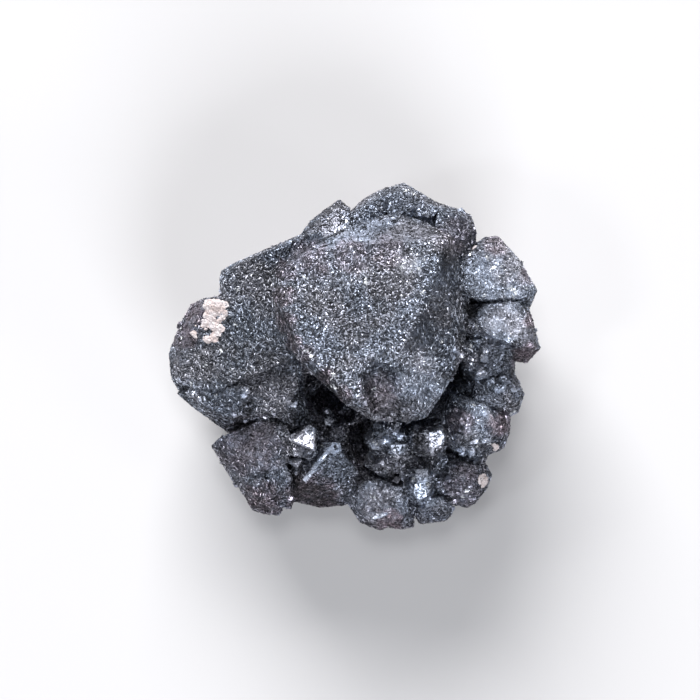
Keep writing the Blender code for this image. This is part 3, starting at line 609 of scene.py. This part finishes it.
# Each pair is a least and a most: the reach is half a crystal's length in millimetres, width and height are
# shares of it, and sunk is the share of it by which the middle stands out. The roll is in radians. The last
# two say how many more sit on bright places and how many fewer on smooth ones.
GRAINS = {
    "fine_grit": dict(
        shape=SHARD, seed=21, count=40000, reach=(0.07, 0.16), width=(0.3, 0.6), height=(0.25, 0.45),
        sunk=(-0.1, 0.2), roll=0.5, on_bright=0.5, on_smooth=0.5,
    ),
    "long_blades": dict(
        shape=SHARD, seed=22, count=49500, reach=(0.17, 0.46), width=(0.17, 0.28), height=(0.12, 0.22),
        sunk=(-0.05, 0.12), roll=0.45, on_bright=0.8, on_smooth=0.85,
    ),
    "flat_tablets": dict(
        shape=TABLET, seed=23, count=31000, reach=(0.12, 0.3), width=(0.22, 0.45), height=(0.15, 0.3),
        sunk=(-0.05, 0.12), roll=0.4, on_bright=1.0, on_smooth=0.8,
    ),
    "octahedra": dict(
        shape=OCTAHEDRON, seed=24, count=9500, reach=(0.09, 0.25), width=(0.8, 1.0), height=(0.7, 1.0),
        sunk=(-0.4, 0.1), roll=0.9, on_bright=2.0, on_smooth=0.9,
    ),
}
UPPER_FACING = 0.1      # the upper side is what faces up more than this
SIDE_SHARE = 0.55       # how many the sides and the underside have, for one on the upper side
BASE_FACING = -0.8      # what faces down more than this, below this height, has none
FREE_BASE = 0.6
MOSTLY_SMALL = 2.2      # the higher, the fewer large ones
PITCH_SHARE = 0.25      # how much less they pitch than they roll
STANDS_OUT = 0.1        # the most that a corner stands out of the surface
FEW_GLINT = 2.45        # the higher, the fewer have a painted glint
MORE_ON_BRIGHT = 1.5    # by how much lighter places, with painted sheen, lower that
DULL_REACH = 0.08       # the smallest ones glint less, more and more over this much
DULL_FADE = 0.12
DULL_LEAST = 0.25
LESS_ON_SMOOTH = 0.55
BRIGHT_ONES_RISE = 0.05  # how much higher the brightest ones lie
BRIGHT_SHARE = 0.45     # how much of the surface's lightness and painted sheen they take on


def frames_on(normals, roll, draw):
    """Three axes for each crystal: it lies along the surface at a random heading, rolled about its length."""
    along = unit(np.cross(normals, draw.normal(size=normals.shape)))
    along = unit(along + normals * draw.normal(0, PITCH_SHARE * roll, (len(normals), 1)))
    across = unit(np.cross(normals, along))
    up = np.cross(along, across)
    turn = draw.normal(0, roll, (len(normals), 1))
    rolled = np.cos(turn) * up + np.sin(turn) * across
    return np.stack([along, np.cross(rolled, along), rolled], 1)


class Bed(Surface):
    """A surface that micro crystals lie in: what is painted on it, and its nearest point to any other."""

    def __init__(self, *objects):
        super().__init__(*objects)
        self.bright, self.brown, self.smooth, self.painted_shade = (
            self.painted(name) for name in ("bright", "brown", "smooth", "painted_shade")
        )
        corners = self.corners.reshape(-1, 3)
        faces = np.arange(len(corners)).reshape(-1, 3)
        self.tree = BVHTree.FromPolygons(corners.tolist(), faces.tolist())

    def places(self, draw, count, on_bright, on_smooth):
        """A triangle for each crystal, and a point on it."""
        on_base = (self.normals[:, 2] < BASE_FACING) & (self.corners[:, :, 2].max(1) < FREE_BASE * MM)
        weight = self.areas * ~on_base * np.where(self.normals[:, 2] > UPPER_FACING, 1.0, SIDE_SHARE)
        weight *= (1 + on_bright * np.minimum(self.bright, 1)) * (1 - on_smooth * self.smooth)
        chosen = draw.choice(len(weight), size=count, p=weight / weight.sum())
        u, v = draw.random((2, count))
        over = u + v > 1
        u[over], v[over] = 1 - u[over], 1 - v[over]
        a, b, c = self.corners[chosen].transpose(1, 0, 2)
        return chosen, a + (b - a) * u[:, None] + (c - a) * v[:, None]

    def held_down(self, points):
        """The points, those that stand out too far past an edge pulled back to the surface."""
        held = points.copy()
        for number, point in enumerate(points.tolist()):
            near, normal, _, distance = self.tree.find_nearest(point)
            out = Vector(point) - near
            if distance > STANDS_OUT * MM and normal.dot(out) > 0:
                held[number] = near + out * (STANDS_OUT * MM / distance)
        return held


def scattered(name, bed, shape, seed, count, reach, width, height, sunk, roll, on_bright, on_smooth):
    """One mesh of many tiny crystals that lie in the bed."""
    draw = np.random.default_rng(seed)
    chosen, place = bed.places(draw, count, on_bright, on_smooth)
    normals = bed.normals[chosen]
    size = reach[0] + (reach[1] - reach[0]) * draw.random(count) ** MOSTLY_SMALL
    scale = np.stack([np.ones(count), draw.uniform(*width, count), draw.uniform(*height, count)], -1)
    shape_points, shape_faces = shape
    local = shape_points[None] * (scale * size[:, None] * MM)[:, None, :]
    turned = np.einsum("nkj,nji->nki", local, frames_on(normals, roll, draw))
    # Painted glint: how much lighter each crystal's colour is.
    glint = draw.random(count) ** (FEW_GLINT - MORE_ON_BRIGHT * np.minimum(bed.bright, 1)[chosen])
    glint *= np.clip((size - DULL_REACH) / DULL_FADE, DULL_LEAST, 1)
    glint *= 1 - LESS_ON_SMOOTH * bed.smooth[chosen]
    out = size * draw.uniform(*sunk, count) + BRIGHT_ONES_RISE * glint
    middle = place + normals * (out * MM)[:, None]
    points = bed.held_down((turned + middle[:, None, :]).reshape(-1, 3))
    points[:, 2] = np.maximum(points[:, 2], 0.0)
    each = len(shape_points)
    faces = (shape_faces[None] + (np.arange(count) * each)[:, None, None]).reshape(-1, 3)
    mesh = mesh_from_arrays(name, points, faces)
    paint(mesh, "glint", np.repeat(glint, each))
    paint(mesh, "bright", np.repeat(BRIGHT_SHARE * bed.bright[chosen], each))
    paint(mesh, "brown", np.repeat(bed.brown[chosen], each))
    paint(mesh, "painted_shade", np.repeat(bed.painted_shade[chosen], each))
    return link_object(name, mesh)


bed = Bed(skin, crystals, clears)
grain_pieces = [scattered(name, bed, **how) for name, how in GRAINS.items()]

# ---------------------------------------------------------------- bright crystals

# Each is its place, its length and how far it is turned, in degrees, with smaller ones about it.
BRIGHT_CRYSTALS = [
    # The main crystal.
    (6.5, 9.9, 0.8, 20), (5.6, 10.3, 0.7, 70), (4.6, 10.6, 0.6, 10), (5.2, 9.6, 0.7, 15),
    (6.9, 9.4, 0.7, 50), (7.4, 10.4, 0.6, 30), (1.2, 7.9, 0.9, 5), (6.1, 9.1, 0.5, 80),
    (7.3, 6.8, 0.6, 60), (0.9, 9.1, 0.45, 20), (-5.4, 8.5, 0.6, 40), (9.3, 1.5, 0.5, 50),
    (-5.0, 0.6, 0.6, 130), (-4.6, 0.1, 0.8, 130), (-2.1, -3.3, 0.9, 130), (2.1, -3.5, 0.7, 20),
    (-2.3, -2.0, 0.7, 130), (9.6, -3.5, 0.9, 30), (-3.9, -0.8, 0.4, 130), (0.6, -4.2, 0.4, 120),
    # The left plate.
    (-16.0, -0.9, 0.6, 100), (-17.6, -2.9, 0.6, 80), (-13.2, -1.4, 0.5, 30), (-15.0, -4.2, 0.5, 60),
    (-12.9, 3.4, 0.45, 40), (-14.4, 0.7, 0.65, 100), (-12.6, 7.2, 0.5, 30), (-18.7, 2.0, 0.5, 30),
    (-18.8, 3.0, 0.4, 60),
    # The right end.
    (13.3, 11.7, 0.9, 20), (12.5, 10.9, 0.6, 10), (11.7, 9.3, 0.8, 70), (14.9, 9.5, 0.7, 40),
    (16.0, 9.6, 0.7, 0), (14.2, 10.7, 0.6, 60), (16.7, 7.4, 0.8, 30), (17.3, 6.9, 0.6, 80),
    (13.9, 6.4, 0.6, 10), (17.1, 6.4, 0.7, 170), (18.6, 7.4, 0.5, 110), (13.1, 3.2, 0.7, 60),
    (12.6, 1.1, 0.6, 80),
    # The crowd and the lower right octahedron.
    (8.2, -9.9, 0.5, 70), (4.7, -10.0, 0.7, 20), (2.2, -9.3, 0.6, 60), (6.4, -13.2, 0.6, 80),
    (7.9, -13.9, 0.6, 100), (17.2, -6.0, 0.9, 110), (12.2, -14.5, 0.8, 60), (11.6, -15.1, 0.6, 60),
    (2.2, -15.2, 0.7, 30), (3.6, -16.1, 0.6, 100), (14.6, -9.4, 0.5, 175), (13.2, -9.7, 0.5, 20),
    (12.9, -5.3, 0.6, 150), (10.8, -4.6, 0.5, 30),
    # The tooth and the ridge.
    (-6.4, -10.2, 0.7, 50), (-6.0, -11.3, 0.7, 40), (-5.4, -8.6, 0.5, 50), (-5.0, -9.3, 0.4, 80),
    (-5.3, -13.1, 0.4, 50), (-4.3, -11.9, 0.4, 55), (-3.2, -10.9, 0.4, 50), (-3.3, -9.6, 0.6, 10),
    # The far peak.
    (4.4, 18.3, 0.6, 20), (5.5, 17.9, 0.7, 50), (6.4, 17.5, 0.5, 10),
]
CLUSTER = 4             # crystals at each place
BRIGHT_HALVES = Vector((0.5, 0.27, 0.2))    # half of a crystal's sizes, for a length of 1
BRIGHT_CORNERS = 9
BRIGHT_TILT = 0.25      # radians
NEIGHBOUR_SIZES = (0.35, 0.7)           # shares of the first one's length
NEIGHBOUR_SHIFT = 0.5
NEIGHBOUR_TURN = 60     # degrees


def bright_crystals(name, under, places, seed):
    """Small clear-cut crystals: each the hull of a few corners on a flat ellipsoid on the surface."""
    draw = np.random.default_rng(seed)
    bm = bmesh.new()
    for x, y, length, turn in places:
        place = under.seat_at(x, y)
        for number in range(CLUSTER):
            share = draw.uniform(*NEIGHBOUR_SIZES) if number else 1.0
            shift = Vector()
            if number:
                shift = Vector((*draw.uniform(-NEIGHBOUR_SHIFT, NEIGHBOUR_SHIFT, 2), 0)) * length
            turned = turn + (number > 0) * draw.uniform(-NEIGHBOUR_TURN, NEIGHBOUR_TURN)
            heading = Matrix.Rotation(np.radians(turned), 4, "Z")
            pitch, roll = (Matrix.Rotation(draw.normal(0, BRIGHT_TILT), 4, axis) for axis in "XY")
            size = Matrix.Diagonal((*(BRIGHT_HALVES * length * share * MM), 1.0))
            move = place @ Matrix.Translation(shift * MM) @ heading @ (pitch @ roll) @ size
            ball = unit(draw.normal(size=(BRIGHT_CORNERS, 3)))
            span_hull(bm, [bm.verts.new(move @ Vector(point)) for point in ball])
    return object_from(bm, name)


brights = bright_crystals("bright_crystals", bed, BRIGHT_CRYSTALS, 31)

# ---------------------------------------------------------------- pale mineral

# Each lump is its middle's x and y, and its radius.
CRUST_LUMPS = [
    (-15.6, 5.45, 0.62), (-15.0, 5.45, 0.66), (-14.3, 5.5, 0.5), (-13.9, 5.6, 0.32), (-15.7, 4.9, 0.45),
    (-15.1, 4.9, 0.55), (-14.4, 4.9, 0.45), (-15.9, 4.4, 0.4), (-14.0, 4.6, 0.34), (-14.3, 4.2, 0.34),
    (-14.6, 3.8, 0.3), (-15.7, 4.1, 0.42), (-15.2, 4.1, 0.3), (-16.0, 3.7, 0.42), (-15.5, 3.5, 0.42),
    (-16.3, 3.3, 0.22), (-15.0, 3.2, 0.46), (-14.4, 3.0, 0.4), (-14.75, 2.65, 0.42), (-15.2, 2.35, 0.28),
    (-15.3, 1.95, 0.34), (-15.8, 1.8, 0.36), (-16.2, 1.9, 0.16), (-14.85, 1.8, 0.24), (-16.0, 2.95, 0.16),
    (-17.35, 2.5, 0.28), (-17.15, 2.15, 0.2), (-16.8, 3.8, 0.1), (-17.1, 3.3, 0.1),
]
FLECK_LUMPS = [
    (13.8, -13.1, 0.4), (14.1, -13.4, 0.4), (14.3, -13.7, 0.35), (13.9, -13.8, 0.35), (13.6, -13.5, 0.3),
    (15.1, -9.6, 0.3), (15.35, -9.8, 0.3), (15.2, -10.0, 0.25), (13.3, 11.6, 0.35), (12.95, 11.7, 0.3),
]
LUMP_FLATNESS = 0.36
LUMP_SWELL = 1.25       # the lumps reach this much past their radius, so that they grow together
CRUST_VOXEL = 0.06
EDGE_SWAY = 0.16        # how far the outline wanders, and how large the wanderings are
SWAY_SIZE = 0.5
SWAY_SEEDS = (12, 13)   # for x and y


def lumpy_crust(name, under, lumps):
    """Flattened lumps grown together on the surface. The relief is written as the skin's is."""
    bm = bmesh.new()
    for x, y, radius in lumps:
        reach = radius * LUMP_SWELL * MM
        place = under.seat_at(x, y) @ Matrix.Diagonal((reach, reach, reach * LUMP_FLATNESS, 1.0))
        bmesh.ops.create_icosphere(bm, subdivisions=2, radius=1.0, matrix=place)
    crust = object_from(bm, name)
    evenly_skinned(crust, CRUST_VOXEL * MM)
    points, normals = points_of(crust.data), normals_of(crust.data)
    rise = 0.05 * noise_at(points, 0.45, 5) + 0.12 * (grains_at(points, 0.32, 6) - 0.4)
    rise += 0.04 * noise_at(points, 0.15, 7)
    sway = [noise_at(points, SWAY_SIZE, seed) for seed in SWAY_SEEDS]
    points += normals * (rise * MM)[:, None]
    points[:, :2] += EDGE_SWAY * MM * np.stack(sway, -1)
    move_points(crust.data, points)
    return crust


crust = lumpy_crust("pale_crust_lumps", bed, CRUST_LUMPS)
flecks = lumpy_crust("pale_flecks", bed, FLECK_LUMPS)

# ---------------------------------------------------------------- materials


class Graph:
    """Short calls for building a material's nodes. A value may be a number, a colour or another's output."""

    def __init__(self, name):
        self.material = bpy.data.materials.new(name)
        self.material.use_nodes = True
        self.nodes = self.material.node_tree.nodes
        self.links = self.material.node_tree.links
        self.shader = self.nodes["Principled BSDF"]
        self.place = self.nodes.new("ShaderNodeTexCoord").outputs["Object"]

    def feed(self, socket, value):
        if isinstance(value, bpy.types.NodeSocket):
            self.links.new(value, socket)
        else:
            socket.default_value = value

    def put(self, node, **values):
        for key, value in values.items():
            self.feed(node.inputs[key.replace("_", " ")], value)

    def noise(self, size):
        """Smooth noise with features of this size in millimetres."""
        node = self.nodes.new("ShaderNodeTexNoise")
        self.put(node, Vector=self.place, Scale=1 / (size * MM), Detail=3.0, Roughness=0.55)
        return node.outputs["Fac"]

    def cells(self, size, feature="F1"):
        """Cells of this size in millimetres."""
        node = self.nodes.new("ShaderNodeTexVoronoi")
        node.feature = feature
        self.put(node, Vector=self.place, Scale=1 / (size * MM))
        return node.outputs

    def painted(self, name):
        """What is painted on the mesh by this name."""
        node = self.nodes.new("ShaderNodeAttribute")
        node.attribute_name = name
        return node.outputs["Fac"]

    def spread(self, value, low, high, to_low=0.0, to_high=1.0):
        """The value, with the range from low to high spread over another."""
        node = self.nodes.new("ShaderNodeMapRange")
        self.put(node, Value=value, From_Min=low, From_Max=high, To_Min=to_low, To_Max=to_high)
        return node.outputs["Result"]

    def mix(self, share, first, second):
        """A colour between two."""
        node = self.nodes.new("ShaderNodeMix")
        node.data_type = "RGBA"
        self.feed(node.inputs[0], share)
        for socket, colour in ((node.inputs[6], first), (node.inputs[7], second)):
            self.feed(socket, (*colour, 1.0) if isinstance(colour, tuple) else colour)
        return node.outputs[2]

    def product(self, first, second):
        """Two numbers multiplied."""
        node = self.nodes.new("ShaderNodeMath")
        node.operation = "MULTIPLY"
        self.feed(node.inputs[0], first)
        self.feed(node.inputs[1], second)
        return node.outputs[0]

    def vector(self, operation, first, second=None):
        """Two colours or vectors, added or multiplied for instance. SCALE takes a number as the second."""
        node = self.nodes.new("ShaderNodeVectorMath")
        node.operation = operation
        self.feed(node.inputs[0], first)
        if second is not None:
            self.feed(node.inputs["Scale" if operation == "SCALE" else 1], second)
        return node.outputs[0]

    def parts(self, vector):
        """The three numbers of a vector or colour."""
        node = self.nodes.new("ShaderNodeSeparateXYZ")
        self.feed(node.inputs[0], vector)
        return node.outputs

    def bump(self, height, distance):
        node = self.nodes.new("ShaderNodeBump")
        self.put(node, Height=height, Distance=distance * MM)
        return node.outputs["Normal"]


STEEL_DARK = (0.10, 0.105, 0.119)
STEEL_LIGHT = (0.21, 0.221, 0.25)
STEEL_BRIGHT = (0.62, 0.65, 0.71)
GRAIN_DARK = (0.02, 0.0215, 0.026)
GRAIN_BRIGHT = (0.66, 0.69, 0.75)
BLUE_TINT = (0.91, 0.98, 1.11)
MAUVE_TINT = (0.99, 0.97, 1.025)
RUST_AND_REFLECTION_TINT = (0.99, 0.75, 0.79)
CLEAR_GREY = (0.28, 0.295, 0.32)
CLEAR_HIGHLIGHT_WHITE = (0.72, 0.75, 0.79)
PALE_PINK = (0.53, 0.495, 0.51)
PALE_RUST = (0.43, 0.355, 0.345)
PALE_GAP = (0.24, 0.215, 0.225)
SKIN_CELL = 0.13        # the tiny faces that the skin seems to be made of
SKIN_METALLIC = 1.0
GRAIN_METALLIC = 0.55
CLEAR_METALLIC = 0.5
CRUST_GRAIN = 0.34
CRUST_ROUGHNESS = 0.7


def painted_steel(g, steel):
    """The steel's colour, made lighter where clean and with painted sheen, darker with painted shade, and
    browner with rust and painted warm reflection, where the mesh is painted so.
    """
    patchiness = g.noise(0.9)
    # Lighter where clean and where sheen is painted.
    bright = g.product(g.painted("bright"), g.spread(patchiness, 0.4, 0.6, 0.2))
    colour = g.mix(bright, steel, STEEL_BRIGHT)
    # Painted shade darkens the colour.
    colour = g.vector("SCALE", colour, g.spread(g.painted("painted_shade"), 0.0, 1.0, 1.0, 0.15))
    tint = g.mix(g.spread(g.noise(5.0), 0.42, 0.6), BLUE_TINT, MAUVE_TINT)
    # Brown: rust, and on downward faces partly a painted warm reflection.
    brown = g.product(g.painted("brown"), g.spread(patchiness, 0.7, 0.4, 0.4, 1.0))
    return g.vector("MULTIPLY", colour, g.mix(brown, tint, RUST_AND_REFLECTION_TINT))


def leaning_normal(g, cell_colour, lean):
    """The surface's normal, leant a different way in each cell, as if each were a tiny crystal face."""
    offset = g.vector("SUBTRACT", cell_colour, (0.5, 0.5, 0.5))
    normal = g.nodes.new("ShaderNodeNewGeometry").outputs["Normal"]
    return g.vector("NORMALIZE", g.vector("ADD", g.vector("SCALE", offset, lean), normal))


def skin_material():
    g = Graph("hematite skin")
    cell = g.cells(SKIN_CELL)["Color"]
    roughness, tone, _ = g.parts(cell)
    steel = g.mix(g.spread(g.noise(2.2), 0.35, 0.65), STEEL_DARK, STEEL_LIGHT)
    steel = g.vector("SCALE", steel, g.spread(tone, 0.0, 1.0, 0.2, 1.5))
    lean = g.spread(g.painted("smooth"), 0.0, 1.0, 0.86, 0.3)
    g.put(g.shader, Base_Color=painted_steel(g, steel), Metallic=SKIN_METALLIC)
    g.put(g.shader, Roughness=g.spread(roughness, 0.0, 1.0, 0.28, 0.6), Normal=leaning_normal(g, cell, lean))
    return g.material


def grain_material():
    g = Graph("hematite grains")
    # Painted glint: the glinting crystals' colour is lighter, whichever way they face.
    glint = g.painted("glint")
    steel = g.mix(glint, GRAIN_DARK, GRAIN_BRIGHT)
    g.put(g.shader, Base_Color=painted_steel(g, steel), Metallic=GRAIN_METALLIC)
    g.put(g.shader, Roughness=g.spread(glint, 0.0, 1.0, 0.5, 0.3))
    return g.material


def bright_material():
    g = Graph("bright crystal")
    # Their whitish colour is partly a painted highlight.
    colour = g.mix(g.spread(g.noise(0.5), 0.35, 0.65), CLEAR_GREY, CLEAR_HIGHLIGHT_WHITE)
    g.put(g.shader, Base_Color=colour, Metallic=CLEAR_METALLIC)
    g.put(g.shader, Roughness=g.spread(g.noise(0.3), 0.3, 0.7, 0.25, 0.5), Normal=g.bump(g.noise(0.1), 0.02))
    return g.material


def crust_material():
    g = Graph("pale mineral")
    colour = g.mix(g.spread(g.noise(0.8), 0.38, 0.62), PALE_PINK, PALE_RUST)
    to_edge = g.cells(CRUST_GRAIN, "DISTANCE_TO_EDGE")["Distance"]
    colour = g.mix(g.spread(to_edge, 0.10, 0.0, 0.0, 0.75), colour, PALE_GAP)
    g.put(g.shader, Base_Color=colour, Roughness=CRUST_ROUGHNESS, Normal=g.bump(g.noise(0.12), 0.03))
    return g.material


SKIN_LOOK = skin_material()
GRAIN_LOOK = grain_material()
skin.data.materials.append(SKIN_LOOK)
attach(skin, "root")
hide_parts("hematite_cluster")
crystals.data.materials.append(SKIN_LOOK)
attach(crystals, "root")
for piece in (clears, *grain_pieces):
    piece.data.materials.append(GRAIN_LOOK)
    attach(piece, "root")
brights.data.materials.append(bright_material())
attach(brights, "root")
CRUST_LOOK = crust_material()
for piece in (crust, flecks):
    piece.data.materials.append(CRUST_LOOK)
    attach(piece, "root")
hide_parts("pale_crust")

# ---------------------------------------------------------------- stage

FLOOR_SIZE = 3000.0
FLOOR_GREY = (0.465, 0.463, 0.475, 1.0)
FLOOR_ROUGHNESS = 0.9
WORLD_GREY = (0.085, 0.088, 0.096, 1.0)


def pale_floor():
    half = FLOOR_SIZE / 2 * MM
    corners = [(-half, -half, 0), (half, -half, 0), (half, half, 0), (-half, half, 0)]
    mesh = bpy.data.meshes.new("floor")
    mesh.from_pydata(corners, [], [(0, 1, 2, 3)])
    g = Graph("floor paper")
    g.put(g.shader, Base_Color=FLOOR_GREY, Roughness=FLOOR_ROUGHNESS)
    mesh.materials.append(g.material)
    return link_object("floor", mesh)


floor = pale_floor()


def softbox(name, place, aim, size, power, colour=(1.0, 1.0, 1.0)):
    """A soft rectangular light: its size in millimetres and its power in watts."""
    light = bpy.data.lights.new(name, "AREA")
    light.shape = "RECTANGLE"
    light.size, light.size_y = size[0] * MM, size[1] * MM
    light.energy = power
    light.color = colour
    obj = link_object(name, light)
    obj.location = Vector(place) * MM
    obj.rotation_euler = (Vector(aim) * MM - obj.location).to_track_quat("-Z", "Y").to_euler()


MIDDLE = (0.0, 0.0, 10.0)
softbox("key", (-600, 2650, 1200), MIDDLE, (2200, 900), 270.0, (1.0, 0.99, 0.98))
softbox("top", (-150, 1000, 3000), MIDDLE, (1000, 1000), 26.0)
softbox("left", (-1900, -600, 2100), MIDDLE, (450, 450), 12.0, (0.94, 0.97, 1.0))
softbox("right", (2400, -900, 1100), MIDDLE, (600, 600), 9.0, (0.97, 0.98, 1.0))
softbox("front", (900, -2200, 1500), MIDDLE, (1600, 1200), 80.0, (0.97, 0.98, 1.0))

world = bpy.data.worlds.new("studio")
world.use_nodes = True
world.node_tree.nodes["Background"].inputs["Color"].default_value = WORLD_GREY
world.node_tree.nodes["Background"].inputs["Strength"].default_value = 1.0
bpy.context.scene.world = world
bpy.context.scene.view_settings.view_transform = "Standard"

# The camera looks straight down, from as far off as a long lens would.
VIEW_MIDDLE = (-0.486, 0.702)
VIEW_WIDTH = 75.6       # how much it sees at this height
VIEW_HEIGHT = 10.0
CAMERA_HEIGHT = 1000.0
SENSOR = 36.0
lens = bpy.data.cameras.new("camera")
lens.sensor_width = SENSOR
lens.lens = SENSOR * (CAMERA_HEIGHT - VIEW_HEIGHT) / VIEW_WIDTH
camera = link_object("camera", lens)
camera.location = Vector((*VIEW_MIDDLE, CAMERA_HEIGHT)) * MM
bpy.context.scene.camera = camera
